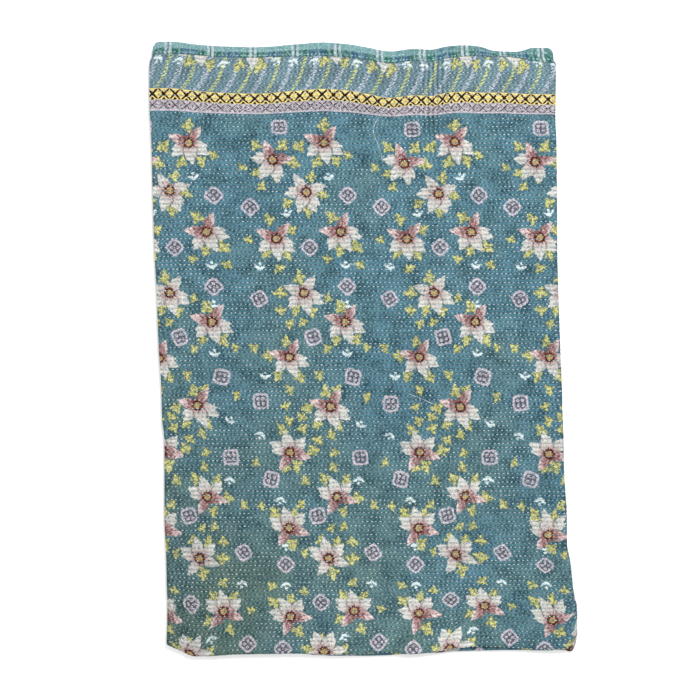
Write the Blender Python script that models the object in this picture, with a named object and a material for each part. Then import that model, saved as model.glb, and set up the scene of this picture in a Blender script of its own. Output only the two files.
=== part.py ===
"""A kantha quilt of printed cotton, folded in four and laid flat.

Metres, +Z up. +Y runs from the folded end to the bound end, +X across.
Each sheet starts as a flat slab in its own coordinates: how far across the
quilt, how far along it, and which face. Every point then goes to its place
on the folded quilt.
"""
import math

import bmesh
import bpy
import numpy as np

MM = 0.001

# The quilt, spread out
QUILT_WIDTH = 1524 * MM
QUILT_LENGTH = 2286 * MM
THICKNESS = 2.5 * MM

# It is folded across its length first, then lengthwise
CROSS_FOLD_AT = 1157 * MM       # along, from the bound end
LONG_FOLD_AT = 762 * MM         # across, from the upper hem
FOLDED_WIDTH = 760 * MM
FOLDED_LENGTH = 1155 * MM

# How the layers lie
BACK_GAP = 0.8 * MM             # between the two halves of the cross fold
FOLD_GAP = 1.0 * MM             # between the two halves of the lengthwise fold
CROSS_BEND = 2.4 * MM           # middle of the cloth, round the cross fold
LONG_BULGE = 1.5 * MM           # the lengthwise fold is rounder than the stack
RELAX = 60 * MM                 # the stack flattens over this much
INNER_INSET = 3 * MM            # the second layer's hem, inside the top one's
LOWER_INSET = 4 * MM            # the lower layers' hems, inside the upper ones'
LOWER_END_INSET = 10 * MM       # the lower bound end, inside the upper one

# Rows of stitches, and how far the cloth puffs up between them
ROW_PITCH = 8.2 * MM
PUFF = 0.5 * MM
STITCHED_FROM = 24.6 * MM       # the first row clear of the binding
HEM_FADE = 12 * MM

# The binding of check cloth, sewn round the end, 20.5 mm wide on each face
BINDING_WALL = 1.0 * MM
BINDING_GAP = 0.5 * MM
BINDING_OVERHANG = 0.6 * MM
END_RISE = BINDING_WALL + BINDING_GAP
END_RISE_FROM = 70 * MM
END_RISE_TO = 32 * MM

# The bound end's corners are rounded off
CORNER_DROP = 9 * MM
CORNER_REACH = 13 * MM
CORNER_FADE = 35 * MM

# The end droops and draws in at one place
DROOP_AT = 268 * MM
DROOP_REACH = 38 * MM
DROOP_DROP = 1.6 * MM
DROOP_DRAW = 8 * MM
DROOP_LENGTH = 26 * MM

# How far the shapes of the two ends carry into the cloth
FOLD_SHAPE_REACH = 190 * MM
END_SHAPE_FROM = 80 * MM
END_SHAPE_REACH = 190 * MM


def table(columns, rows):
    """Named columns, in metres, from rows in millimetres."""
    return {name: MM * np.array(values) for name, values in zip(columns.split(), zip(*rows))}


# The side edges, by height above the folded end
SIDES = table("up left right", (
    (0, -369.5, 402.0),
    (67, -368.5, 401.5),
    (95, -368.5, 398.5),
    (120, -369.5, 395.0),
    (180, -370.5, 389.0),
    (213, -372.0, 383.0),
    (267, -374.0, 382.5),
    (350, -374.0, 377.5),
    (412, -374.5, 376.5),
    (449, -378.5, 375.0),
    (505, -380.0, 373.5),
    (585, -385.0, 370.5),
    (691, -389.0, 366.5),
    (766, -393.0, 365.0),
    (861, -396.0, 364.5),
    (963, -398.5, 363.0),
    (1037, -402.0, 361.0),
    (1084, -402.5, 361.5),
    (1118, -402.0, 362.0),
    (1131, -397.5, 361.5),
    (1143, -395.5, 356.5),
    (1155, -395.0, 356.0),
))

# The folded end, by place across: the upper fold lies on the lower one
FOLDS = table("x upper lower", (
    (-370, 23, 27),
    (-345, 12, 16),
    (-318, 1, 7),
    (-300, 1, 6),
    (-250, 4, 8),
    (-130, 6, 7),
    (-90, 5, 2),
    (-63, 4, 1),
    (3, 6, 1),
    (46, 9, 2),
    (88, 5, 5),
    (130, 9, 6),
    (182, 17, 10),
    (226, 20, 11),
    (283, 18, 12),
    (341, 14, 11),
    (378, 16, 12),
    (391, 21, 9),
    (398, 30, 17),
    (402, 44, 34),
))

# The bound end, by place across: how far it stands out or draws in
END = table("x out", (
    (-395, 0),
    (-365, 0),
    (-309, -6),
    (-252, -9.5),
    (-205, -10.5),
    (-120, -4.5),
    (-77, -1.5),
    (-35, -4),
    (12, -12),
    (50, -18.5),
    (97, -13.5),
    (126, -15),
    (163, -8.5),
    (192, -6.5),
    (220, -8.5),
    (258, -8.5),
    (315, -11.5),
    (357, -12),
))

# Soft ridges and troughs of the upper layers, from one end to the other
CREASES = table("x0 y0 x1 y1 width height", (
    (150, 1150, 158, 1060, 9, 3.0),
    (158, 1060, 172, 985, 12, 1.2),
    (20, 1085, 90, 1075, 26, 2.0),
    (258, 1100, 300, 1098, 20, 2.0),
    (-205, 1118, -160, 1060, 30, 1.2),
    (-376, 437, -250, 433, 8, 1.2),
    (376, 352, 300, 345, 14, 1.0),
    (383, 212, 290, 232, 18, 1.4),
    (395, 110, 330, 60, 22, 1.6),
    (182, 30, 300, 34, 16, 1.6),
    (-60, 22, 50, 24, 14, 1.2),
    (-330, 60, -250, 20, 18, 1.0),
))

# Where the flat slab has its points
HALF_COLUMNS = (0, 14, 86, 190, 290, 392, 475, 560, 650, 735)
BEND_COLUMNS = (752.5, 756.5, 759.5, 762, 764.5, 767.5, 771.5)
LOWER_COLUMNS = (860, 1000, 1130, 1240, 1380, 1500)
DROOP_COLUMNS = (560, 735)      # finer than the rest, near the end
END_ROWS = (0, 4.1, 8.2, 12.3, 16.4, 20.5, 24.6, 32.8)
COARSE_ROW = 32.8
BEND_ROWS = (1153.2, 1155.1, 1157, 1158.9, 1160.8)
INNER_ROWS = (1190, 1250, 1420, 1620, 1820, 2020, 2150)
FINE_COLUMNS_FROM_END = 131.2
FINE_COLUMNS_FROM_FOLD = 66


def ease(t):
    """From 0 to 1 with level ends."""
    t = np.clip(t, 0.0, 1.0)
    return t * t * (3 - 2 * t)


def blend(a, b, share):
    return a + (b - a) * share


def curve(rows, key, column, at):
    """A smooth curve through one column of a table, without overshoot."""
    x, y = rows[key], rows[column]
    rise = np.diff(y) / np.diff(x)
    turning = rise[:-1] * rise[1:] <= 0
    both = np.where(turning, 1, rise[:-1] + rise[1:])
    inside = np.where(turning, 0, 2 * rise[:-1] * rise[1:] / both)
    slope = np.concatenate((rise[:1], inside, rise[-1:]))
    at = np.clip(at, x[0], x[-1])
    i = np.clip(np.searchsorted(x, at) - 1, 0, len(x) - 2)
    step = x[i + 1] - x[i]
    t = (at - x[i]) / step
    start = (1 + 2 * t) * (1 - t) ** 2 * y[i] + t * (1 - t) ** 2 * step * slope[i]
    finish = t * t * (3 - 2 * t) * y[i + 1] + t * t * (t - 1) * step * slope[i + 1]
    return start + finish


def cross_fold(along):
    """Height above the folded end, and offset from the middle of the two layers."""
    outer = CROSS_FOLD_AT - along
    bend = outer / CROSS_BEND
    past = np.abs(outer) - CROSS_BEND * math.pi / 2
    flat_half = (THICKNESS + BACK_GAP) / 2
    half_gap = blend(CROSS_BEND, flat_half, ease(past / RELAX))
    turning = past < 0
    up = np.where(turning, CROSS_BEND * (1 - np.cos(bend)), CROSS_BEND + past)
    side = np.where(turning, CROSS_BEND * np.sin(bend), np.sign(outer) * half_gap)
    return up, side, half_gap


def long_fold(across, side, half_gap):
    """Place across and height of two layers that turn over at the right."""
    stack = half_gap + THICKNESS / 2
    upper = LONG_FOLD_AT - across
    radius = stack + FOLD_GAP / 2 + LONG_BULGE
    turn = upper / radius
    past = np.abs(upper) - radius * math.pi / 2
    turning = past < 0
    flat_radius = radius - LONG_BULGE * ease(past / RELAX)
    centre = FOLDED_WIDTH - radius - half_gap
    x = np.where(turning, centre + (radius + side) * np.cos(turn), centre - past)
    rise = np.where(turning, (radius + side) * np.sin(turn), np.sign(upper) * (flat_radius + side))
    level = np.where(turning, (1 - np.sin(turn)) / 2, np.where(upper > 0, 0.0, 1.0))
    return x, stack + flat_radius + rise, level


def lay_out(x, up, level, inner):
    """The photo's outline: place in plan of a point of the even folded shape."""
    share = x / FOLDED_WIDTH
    inset = INNER_INSET * inner + LOWER_INSET * level
    left = curve(SIDES, "up", "left", up) + inset
    right = curve(SIDES, "up", "right", up)
    plan_x = blend(left, right, share)
    upper = curve(FOLDS, "x", "upper", plan_x)
    lower = curve(FOLDS, "x", "lower", plan_x)
    from_end = FOLDED_LENGTH - up
    fold_shape = blend(upper, lower, level) * (1 - ease(up / FOLD_SHAPE_REACH))
    end_shape = curve(END, "x", "out", plan_x) - LOWER_END_INSET * level
    carried = 1 - ease((from_end - END_SHAPE_FROM) / (END_SHAPE_REACH - END_SHAPE_FROM))
    near_side = 2 - ease((plan_x - left) / CORNER_REACH) - ease((right - plan_x) / CORNER_REACH)
    corner = CORNER_DROP * near_side * (1 - ease(from_end / CORNER_FADE))
    return plan_x, up + fold_shape + end_shape * carried - corner


def creases(x, y):
    """Height of the soft ridges at a place in plan."""
    height = np.zeros_like(x)
    for i in range(len(CREASES["x0"])):
        x0, y0, x1, y1, width, rise = (CREASES[name][i] for name in CREASES)
        run_x, run_y = x1 - x0, y1 - y0
        share = ((x - x0) * run_x + (y - y0) * run_y) / (run_x ** 2 + run_y ** 2)
        share = np.clip(share, 0, 1)
        off = np.hypot(x - x0 - share * run_x, y - y0 - share * run_y)
        height += rise * np.exp(-(off / width) ** 2)
    return height


def droop(x):
    """Share of the droop of the bound end, by place across."""
    return np.exp(-((x - DROOP_AT) / DROOP_REACH) ** 4)


def middle(across, along):
    """Middle of the cloth, at a place of the spread-out quilt."""
    up, side, half_gap = cross_fold(along)
    x, z, level = long_fold(across, side, half_gap)
    inner = (1 - side / half_gap) / 2
    plan_x, plan_y = lay_out(x, up, level, inner)
    stack_height = 4 * (THICKNESS + FOLD_GAP)
    free = ease((z - THICKNESS) / (stack_height - THICKNESS))
    z = z + creases(plan_x, plan_y) * free
    from_end = FOLDED_LENGTH - up
    z = z + END_RISE * ease((END_RISE_FROM - from_end) / (END_RISE_FROM - END_RISE_TO))
    loose = (1 - level) * (1 - inner) * droop(plan_x)
    loose = loose * np.clip(1 - from_end / DROOP_LENGTH, 0, None) ** 2
    return np.stack([plan_x, plan_y - DROOP_DRAW * loose, z - DROOP_DROP * loose], axis=-1)


def placed(across, along, out):
    """The middle, moved out by a distance along the cloth's own normal."""
    step = 0.05 * MM
    run_across = middle(across + step, along) - middle(across - step, along)
    run_along = middle(across, along + step) - middle(across, along - step)
    normal = np.cross(run_along, run_across)
    normal /= np.linalg.norm(normal, axis=-1, keepdims=True)
    return middle(across, along) + np.asarray(out)[..., None] * normal


def puff(across, along):
    """Rise of the printed face between two rows of stitches, on the top quarter."""
    rows = (1 - np.cos(2 * math.pi * along / ROW_PITCH)) / 2
    from_hem = ease(across / HEM_FADE)
    on_top = (along > STITCHED_FROM) & (along < BEND_ROWS[0] * MM) & (across < LONG_FOLD_AT)
    return PUFF * rows * np.where(on_top, from_hem, 0.0)


def flat_slab(columns, rows):
    """A closed slab with a point at each column and row: faces at height 0 and 1.

    Along runs against +Y, so placing a slab turns it inside out: it starts that way.
    """
    bm = bmesh.new()
    bmesh.ops.create_grid(bm, x_segments=len(columns) - 1, y_segments=len(rows) - 1, size=1)
    for vert in bm.verts:
        column = round((vert.co.x + 1) / 2 * (len(columns) - 1))
        row = round((vert.co.y + 1) / 2 * (len(rows) - 1))
        vert.co = (columns[column], rows[row], 0)
    raised = bmesh.ops.extrude_face_region(bm, geom=bm.faces[:], use_keep_orig=True)
    top = [item for item in raised["geom"] if isinstance(item, bmesh.types.BMVert)]
    bmesh.ops.translate(bm, verts=top, vec=(0, 0, 1))
    bmesh.ops.recalc_face_normals(bm, faces=bm.faces[:])
    bmesh.ops.reverse_faces(bm, faces=bm.faces[:])
    return bm


def split(bm, chosen, cuts):
    """Cut the chosen edges; a face with one cut side keeps its shape."""
    edges = [edge for edge in bm.edges if chosen(*(vert.co for vert in edge.verts))]
    bmesh.ops.subdivide_edges(bm, edges=edges, cuts=cuts, use_grid_fill=True)


def between(a, b, axis, low, high):
    """Whether both ends of an edge lie in a range of one coordinate."""
    slack = 0.01 * MM
    return all(low - slack <= end[axis] <= high + slack for end in (a, b))


def add_node(name, bm, place, material):
    """Move each point of a slab to its place and make it an object."""
    flat = np.array([vert.co for vert in bm.verts])
    for vert, point in zip(bm.verts, place(*flat.T)):
        vert.co = point
    mesh = bpy.data.meshes.new(name)
    bm.to_mesh(mesh)
    bm.free()
    mesh.materials.append(material)
    node = bpy.data.objects.new(name, mesh)
    parts.objects.link(node)
    return node


def cloth_slab():
    """The whole quilt as a slab, with fine rows on its top quarter."""
    last = int(BEND_ROWS[0] / COARSE_ROW)
    coarse = tuple(COARSE_ROW * (i + 2) for i in range(last - 1))
    columns = [MM * at for at in HALF_COLUMNS + BEND_COLUMNS + LOWER_COLUMNS] + [QUILT_WIDTH]
    rows = [MM * at for at in END_ROWS + coarse + BEND_ROWS + INNER_ROWS] + [QUILT_LENGTH]
    bm = flat_slab(columns, rows)
    near_end = FINE_COLUMNS_FROM_END * MM
    fold_from = (BEND_ROWS[0] - FINE_COLUMNS_FROM_FOLD) * MM
    fold_to = INNER_ROWS[0] * MM
    bend_start = BEND_COLUMNS[0] * MM

    def across_edge(a, b, low, high):
        runs_across = abs(a.x - b.x) > abs(a.y - b.y) and a.z == b.z
        return runs_across and between(a, b, 0, low, high)

    low, high = (MM * at for at in DROOP_COLUMNS)
    split(bm, lambda a, b: across_edge(a, b, low, high) and between(a, b, 1, 0, near_end), 1)
    split(bm, lambda a, b: across_edge(a, b, 0, bend_start)
          and (between(a, b, 1, 0, near_end) or between(a, b, 1, fold_from, fold_to)), 1)

    def row_edge(a, b, low, high):
        runs_along = abs(a.y - b.y) > abs(a.x - b.x)
        printed_face = a.z == 1 and b.z == 1
        top_quarter = between(a, b, 0, 0, bend_start) and between(a, b, 1, low, high)
        return runs_along and printed_face and top_quarter

    first_coarse = END_ROWS[-1] * MM
    last_coarse = coarse[-1] * MM
    split(bm, lambda a, b: row_edge(a, b, 0, first_coarse), 1)
    cuts = round(2 * COARSE_ROW * MM / ROW_PITCH) - 1
    split(bm, lambda a, b: row_edge(a, b, first_coarse, last_coarse), cuts)
    return bm


def cloth_place(across, along, face):
    out = np.where(face > 0.5, THICKNESS / 2 + puff(across, along), -THICKNESS / 2)
    return placed(across, along, out)


def binding_slab():
    """The binding, flat: across the quilt, and from its upper edge round to its lower one."""
    edge = [MM * at for at in END_ROWS[5:0:-1]]
    wrap = binding_wrap()
    turn = [wrap * share for share in (1, 0.5, 0, -0.5, -1)]
    rows = [wrap + out for out in edge] + turn + [-wrap - out for out in edge[::-1]]
    fine = list(HALF_COLUMNS + BEND_COLUMNS[:1])
    for low, high in (DROOP_COLUMNS, (fine[0], fine[-1])):
        fine += [(a + b) / 2 for a, b in zip(fine, fine[1:]) if low <= a and b <= high]
        fine.sort()
    inside = [MM * at for at in fine[1:] + list(BEND_COLUMNS[1:] + LOWER_COLUMNS)]
    columns = [-BINDING_OVERHANG] + inside + [QUILT_WIDTH + BINDING_OVERHANG]
    return flat_slab(columns, rows)


def binding_radius():
    return THICKNESS / 2 + BINDING_GAP + BINDING_WALL / 2


def binding_wrap():
    """Half the length of the turn round the end."""
    return binding_radius() * math.pi / 2


def binding_place(across, girth, face):
    """Down from the upper edge, round the end, and back up on the other face."""
    wall = np.where(face > 0.5, 1, -1) * BINDING_WALL / 2
    radius = binding_radius() + wall
    past = np.abs(girth) - binding_wrap()
    turning = past < 0
    turn = girth / binding_radius()
    along = np.where(turning, -radius * np.cos(turn), past)
    out = np.where(turning, radius * np.sin(turn), np.sign(girth) * radius)
    return placed(across, along, out)


def finish(name, colour, roughness):
    material = bpy.data.materials.new(name)
    material.use_nodes = True
    shader = material.node_tree.nodes["Principled BSDF"]
    shader.inputs["Base Color"].default_value = (*colour, 1)
    shader.inputs["Roughness"].default_value = roughness
    shader.inputs["Metallic"].default_value = 0
    return material


def centre(nodes):
    """Put the middle of the whole box over the origin and its underside at zero."""
    points = np.array([vert.co for node in nodes for vert in node.data.vertices])
    low, high = points.min(axis=0), points.max(axis=0)
    shift = -(low + high) / 2
    shift[2] = -low[2]
    for node in nodes:
        for vert in node.data.vertices:
            vert.co = [value + move for value, move in zip(vert.co, shift)]


for old in list(bpy.data.objects):
    bpy.data.objects.remove(old)
parts = bpy.data.collections.new("kantha_quilt")
bpy.context.scene.collection.children.link(parts)

printed_cotton = finish("printed_cotton", (0.075, 0.21, 0.26), 0.85)
check_cotton = finish("check_cotton", (0.10, 0.32, 0.30), 0.8)

quilt = add_node("quilt_cloth", cloth_slab(), cloth_place, printed_cotton)
binding = add_node("end_binding", binding_slab(), binding_place, check_cotton)
centre([quilt, binding])
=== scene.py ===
"""A kantha quilt folded in four: printed cotton, rows of running stitch, a check binding."""

import math

import bmesh
import bpy
import numpy as np
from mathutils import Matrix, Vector


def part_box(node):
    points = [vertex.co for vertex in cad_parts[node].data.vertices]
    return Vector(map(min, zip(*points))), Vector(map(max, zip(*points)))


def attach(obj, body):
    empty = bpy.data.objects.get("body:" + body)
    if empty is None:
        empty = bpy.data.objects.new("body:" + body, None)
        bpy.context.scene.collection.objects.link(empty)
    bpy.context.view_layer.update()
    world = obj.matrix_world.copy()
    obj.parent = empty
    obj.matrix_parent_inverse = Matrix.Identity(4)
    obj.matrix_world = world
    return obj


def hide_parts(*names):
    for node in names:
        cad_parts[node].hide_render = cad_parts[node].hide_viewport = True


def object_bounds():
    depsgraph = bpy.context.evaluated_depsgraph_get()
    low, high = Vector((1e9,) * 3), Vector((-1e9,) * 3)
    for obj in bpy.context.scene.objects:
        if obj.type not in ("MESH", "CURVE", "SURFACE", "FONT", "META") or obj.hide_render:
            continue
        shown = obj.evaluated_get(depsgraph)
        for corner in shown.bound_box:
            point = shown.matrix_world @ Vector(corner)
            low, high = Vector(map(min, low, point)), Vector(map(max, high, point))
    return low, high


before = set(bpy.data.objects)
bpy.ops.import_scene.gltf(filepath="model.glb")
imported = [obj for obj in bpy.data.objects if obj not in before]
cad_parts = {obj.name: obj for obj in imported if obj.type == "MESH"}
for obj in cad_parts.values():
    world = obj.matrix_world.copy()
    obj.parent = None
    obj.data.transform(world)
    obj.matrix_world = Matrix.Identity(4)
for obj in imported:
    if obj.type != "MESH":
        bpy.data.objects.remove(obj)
cad_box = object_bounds()

MM = 0.001

# ---- how the quilt is folded
# Flat places are (across, along): across from the upper hem, along from the bound end.

QUILT_WIDTH = 1524 * MM
QUILT_LENGTH = 2286 * MM
THICKNESS = 2.5 * MM
CROSS_FOLD_AT = 1157 * MM  # along
LONG_FOLD_AT = 762 * MM    # across
FOLDED_WIDTH = 760 * MM
FOLDED_LENGTH = 1155 * MM
BACK_GAP = 0.8 * MM        # between the two halves of the cross fold
FOLD_GAP = 1.0 * MM        # between the two halves of the lengthwise fold
CROSS_BEND = 2.4 * MM      # middle of the cloth, round the cross fold
LONG_BULGE = 1.5 * MM      # the lengthwise fold is rounder than the stack
RELAX = 60 * MM            # the stack flattens over this much
INNER_INSET = 3 * MM       # the second layer's hem, inside the top one's
LOWER_INSET = 4 * MM       # the lower layers' hems, inside the upper ones'
LOWER_END_INSET = 10 * MM  # the lower bound end, inside the upper one
END_RISE = 1.5 * MM        # the layers lift where the binding lies between them
END_RISE_FROM = 70 * MM
END_RISE_TO = 32 * MM
CORNER_DROP = 9 * MM
CORNER_REACH = 13 * MM
CORNER_FADE = 35 * MM
DROOP_AT = 268 * MM        # the upper end sags here
DROOP_REACH = 38 * MM
DROOP_DROP = 1.6 * MM
DROOP_DRAW = 8 * MM
DROOP_LENGTH = 26 * MM
FOLD_SHAPE_REACH = 190 * MM
END_SHAPE_FROM = 80 * MM
END_SHAPE_REACH = 190 * MM


def table(columns, rows, unit=MM):
    """Columns of rows in mm, in metres unless the unit is 1."""
    return {name: unit * np.array(values) for name, values in zip(columns.split(), zip(*rows))}


SIDES = table("up left right", (  # where the two sides run
    (0, -369.5, 402), (67, -368.5, 401.5), (95, -368.5, 398.5), (120, -369.5, 395),
    (180, -370.5, 389), (213, -372, 383), (267, -374, 382.5), (350, -374, 377.5),
    (412, -374.5, 376.5), (449, -378.5, 375), (505, -380, 373.5), (585, -385, 370.5),
    (691, -389, 366.5), (766, -393, 365), (861, -396, 364.5), (963, -398.5, 363),
    (1037, -402, 361), (1084, -402.5, 361.5), (1118, -402, 362), (1131, -397.5, 361.5),
    (1143, -395.5, 356.5), (1155, -395, 356),
))
FOLDS = table("x upper lower", (  # how far in the folded end is
    (-370, 23, 27), (-345, 12, 16), (-318, 1, 7), (-300, 1, 6), (-250, 4, 8), (-130, 6, 7),
    (-90, 5, 2), (-63, 4, 1), (3, 6, 1), (46, 9, 2), (88, 5, 5), (130, 9, 6), (182, 17, 10),
    (226, 20, 11), (283, 18, 12), (341, 14, 11), (378, 16, 12), (391, 21, 9), (398, 30, 17),
    (402, 44, 34),
))
END = table("x out", (  # how far out the bound end is
    (-395, 0), (-365, 0), (-309, -6), (-252, -9.5), (-205, -10.5), (-120, -4.5), (-77, -1.5),
    (-35, -4), (12, -12), (50, -18.5), (97, -13.5), (126, -15), (163, -8.5), (192, -6.5),
    (220, -8.5), (258, -8.5), (315, -11.5), (357, -12),
))
BINDING_EDGE = table("across wide", (  # the binding's lower edge, on the upper face
    (0, 21), (50, 20), (80, 17.5), (230, 17.5), (290, 21.5), (335, 23.5), (370, 22.5), (430, 20.5),
    (570, 20), (595, 19), (612, 15.5), (670, 15.5), (700, 18), (720, 23), (740, 25), (770, 25),
    (800, 19), (1524, 19),
))
CREASES = table("x0 y0 x1 y1 width height", (
    (150, 1150, 158, 1060, 9, 3), (158, 1060, 172, 985, 12, 1.2),
    (20, 1085, 90, 1075, 26, 2), (258, 1100, 300, 1098, 20, 2),
    (-205, 1118, -160, 1060, 30, 1.2), (-376, 437, -320, 435, 5, 2.2),
    (376, 352, 300, 345, 14, 1), (383, 212, 290, 232, 18, 1.4),
    (395, 110, 330, 60, 22, 1.6), (182, 30, 300, 34, 16, 1.6),
    (-60, 22, 50, 24, 14, 1.2), (-330, 60, -250, 20, 18, 1),
))


def ease(t):
    """From 0 to 1 with level ends."""
    t = np.clip(t, 0, 1)
    return t * t * (3 - 2 * t)


def blend(a, b, share):
    return a + (b - a) * share


def curve(rows, key, column, at):
    """A smooth curve through one column of a table, without overshoot."""
    x, y = rows[key], rows[column]
    rise = np.diff(y) / np.diff(x)
    turning = rise[:-1] * rise[1:] <= 0
    both = np.where(turning, 1, rise[:-1] + rise[1:])
    inside = np.where(turning, 0, 2 * rise[:-1] * rise[1:] / both)
    slope = np.concatenate((rise[:1], inside, rise[-1:]))
    at = np.clip(at, x[0], x[-1])
    i = np.clip(np.searchsorted(x, at) - 1, 0, len(x) - 2)
    step = x[i + 1] - x[i]
    t = (at - x[i]) / step
    start = (1 + 2 * t) * (1 - t) ** 2 * y[i] + t * (1 - t) ** 2 * step * slope[i]
    finish = t * t * (3 - 2 * t) * y[i + 1] + t * t * (t - 1) * step * slope[i + 1]
    return start + finish


def cross_fold(along):
    """Height above the folded end, and offset from the middle of the two layers."""
    outer = CROSS_FOLD_AT - along
    bend = outer / CROSS_BEND
    past = np.abs(outer) - CROSS_BEND * math.pi / 2
    half_gap = blend(CROSS_BEND, (THICKNESS + BACK_GAP) / 2, ease(past / RELAX))
    turning = past < 0
    up = np.where(turning, CROSS_BEND * (1 - np.cos(bend)), CROSS_BEND + past)
    side = np.where(turning, CROSS_BEND * np.sin(bend), np.sign(outer) * half_gap)
    return up, side, half_gap


def long_fold(across, side, half_gap):
    """Place across and height of two layers that turn over at the right."""
    stack = half_gap + THICKNESS / 2
    upper = LONG_FOLD_AT - across
    radius = stack + FOLD_GAP / 2 + LONG_BULGE
    turn = upper / radius
    past = np.abs(upper) - radius * math.pi / 2
    turning = past < 0
    flat_radius = radius - LONG_BULGE * ease(past / RELAX)
    middle_x = FOLDED_WIDTH - radius - half_gap
    x = np.where(turning, middle_x + (radius + side) * np.cos(turn), middle_x - past)
    rise = np.where(turning, (radius + side) * np.sin(turn), np.sign(upper) * (flat_radius + side))
    level = np.where(turning, (1 - np.sin(turn)) / 2, np.where(upper > 0, 0, 1))
    return x, stack + flat_radius + rise, level


def rounding(t):
    """From 1 at an edge to 0 one reach in, as a corner rounds off."""
    t = np.clip(t, 0, 1)
    return 1 - np.sqrt(1 - (1 - t) ** 2)


def lay_out(x, up, level, inner):
    """Place in plan of a point of the even folded shape."""
    share = x / FOLDED_WIDTH
    left = curve(SIDES, "up", "left", up) + INNER_INSET * inner + LOWER_INSET * level
    right = curve(SIDES, "up", "right", up)
    plan_x = blend(left, right, share)
    upper = curve(FOLDS, "x", "upper", plan_x)
    lower = curve(FOLDS, "x", "lower", plan_x)
    from_end = FOLDED_LENGTH - up
    fold_shape = blend(upper, lower, level) * (1 - ease(up / FOLD_SHAPE_REACH))
    end_shape = curve(END, "x", "out", plan_x) - LOWER_END_INSET * level
    carried = 1 - ease((from_end - END_SHAPE_FROM) / (END_SHAPE_REACH - END_SHAPE_FROM))
    near_side = rounding((plan_x - left) / CORNER_REACH) + rounding((right - plan_x) / CORNER_REACH)
    corner = CORNER_DROP * near_side * (1 - ease(from_end / CORNER_FADE))
    return plan_x, up + fold_shape + end_shape * carried - corner


def creases(x, y):
    """Height of the soft ridges at a place in plan."""
    height = np.zeros_like(x)
    for i in range(len(CREASES["x0"])):
        x0, y0, x1, y1, width, rise = (CREASES[name][i] for name in CREASES)
        run_x, run_y = x1 - x0, y1 - y0
        share = ((x - x0) * run_x + (y - y0) * run_y) / (run_x ** 2 + run_y ** 2)
        share = np.clip(share, 0, 1)
        off = np.hypot(x - x0 - share * run_x, y - y0 - share * run_y)
        height += rise * np.exp(-(off / width) ** 2)
    return height


def middle(across, along):
    """Middle of the cloth, at a flat place."""
    up, side, half_gap = cross_fold(along)
    x, z, level = long_fold(across, side, half_gap)
    inner = (1 - side / half_gap) / 2
    plan_x, plan_y = lay_out(x, up, level, inner)
    free = ease((z - THICKNESS) / (4 * FOLD_GAP + 3 * THICKNESS))
    z = z + creases(plan_x, plan_y) * free
    from_end = FOLDED_LENGTH - up
    z = z + END_RISE * ease((END_RISE_FROM - from_end) / (END_RISE_FROM - END_RISE_TO))
    loose = (1 - level) * (1 - inner) * np.exp(-((plan_x - DROOP_AT) / DROOP_REACH) ** 4)
    loose = loose * np.clip(1 - from_end / DROOP_LENGTH, 0, None) ** 2
    return np.stack([plan_x, plan_y - DROOP_DRAW * loose, z - DROOP_DROP * loose], axis=-1)


def placed(across, along, out):
    """A flat place's point on the folded quilt, moved out along the cloth's own normal."""
    step = 0.05 * MM
    run_across = middle(across + step, along) - middle(across - step, along)
    run_along = middle(across, along + step) - middle(across, along - step)
    normal = np.cross(run_along, run_across)
    normal /= np.linalg.norm(normal, axis=-1, keepdims=True)
    return middle(across, along) + np.asarray(out)[..., None] * normal


# ---- the cloth's relief

ROW_PITCH = 8.2 * MM
ROW_SWAY = 1.1 * MM
HEM_ROUND = 1.25 * MM
LEAST_RIM = 0.3
PUFF = 0.75 * MM
UNDER_GROOVE = 0.35 * MM
PUCKERS = ((52, 0.6), (23, 0.4), (11, 0.22))  # size and height, mm
HEM_FADE = 12 * MM         # the relief is whole this far from the left hem
FLAT_FADE = 9 * MM         # and this far from the binding and from the cross fold
BINDING_WIDTH = 17.5 * MM
BINDING_WALL = 1.0 * MM
CRUMPLE_AT = 532 * MM
CRUMPLE_REACH = 28 * MM
CRUMPLE_LENGTH = 330 * MM
CRUMPLE_PITCH = 8.8 * MM
CRUMPLE_HEIGHT = 1.5 * MM


def soft_noise(across, along, size, seed):
    """Smooth rises and falls between -1 and 1, about a size apart."""
    grid = np.random.default_rng(seed).uniform(-1, 1, (97, 97))
    x, y = across / size, along / size
    i, j = np.floor(x).astype(int), np.floor(y).astype(int)
    s, t = ease(x - i), ease(y - j)

    def at(di, dj):
        return grid[(i + di) % 97, (j + dj) % 97]

    return blend(blend(at(0, 0), at(1, 0), s), blend(at(0, 1), at(1, 1), s), t)


def row_sway(across, along):
    """How far the rows of stitches stray from straight lines."""
    return ROW_SWAY * soft_noise(across, along, 75 * MM, 7)


def binding_width(across):
    """How far down from the bound end the binding reaches."""
    return np.interp(across, BINDING_EDGE["across"], BINDING_EDGE["wide"])


def crumple(across, along):
    """Which of the upright ridges a place is on, below the bound end, and how bunched it is."""
    near = np.exp(-((across - CRUMPLE_AT) / CRUMPLE_REACH) ** 2)
    near = near * (1 - ease(along / CRUMPLE_LENGTH))
    near = near * ease((along - binding_width(across)) / FLAT_FADE)
    return across / CRUMPLE_PITCH + 0.22 * soft_noise(across, along, 34 * MM, 15), near


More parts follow.
